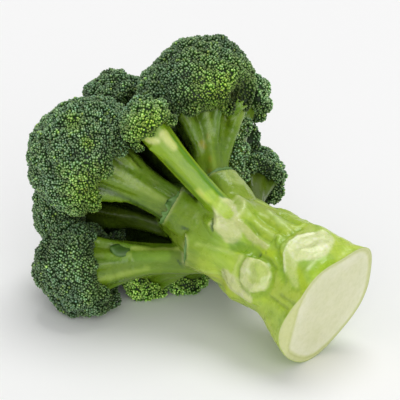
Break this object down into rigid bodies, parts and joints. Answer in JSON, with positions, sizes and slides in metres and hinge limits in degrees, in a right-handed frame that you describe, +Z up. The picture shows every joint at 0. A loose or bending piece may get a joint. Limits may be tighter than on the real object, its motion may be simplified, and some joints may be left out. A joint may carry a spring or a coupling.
{
  "type": "broccoli head",
  "caption": "Whole broccoli head lying on its side: thick cut stalk with branches and leaf scars under a domed crown of tight florets.",
  "frame": {"origin": "middle of the bounding box, on the floor that the head lies on", "axes": "+X towards the cut end of the stalk, +Z up from the floor, as the head lies in the picture"},
  "size_m": [0.1638, 0.1206, 0.1191],
  "materials": {
    "stalk": "waxy, slightly glossy skin",
    "buds": "matte, finely beaded"
  },
  "bodies": {
    "root": {"stalk": "stalk", "floret_upper": "buds", "floret_small_front": "buds", "floret_front": "buds", "floret_low_front": "buds", "floret_low_stalkward": "buds", "floret_low_middle": "buds", "floret_low_back": "buds", "floret_back": "buds", "floret_back_middle": "buds", "floret_upper_back": "buds", "floret_back_inner": "buds", "floret_low_end": "buds", "floret_end_low": "buds", "floret_end_middle": "buds", "floret_end_upper": "buds"}
  },
  "joints": []
}
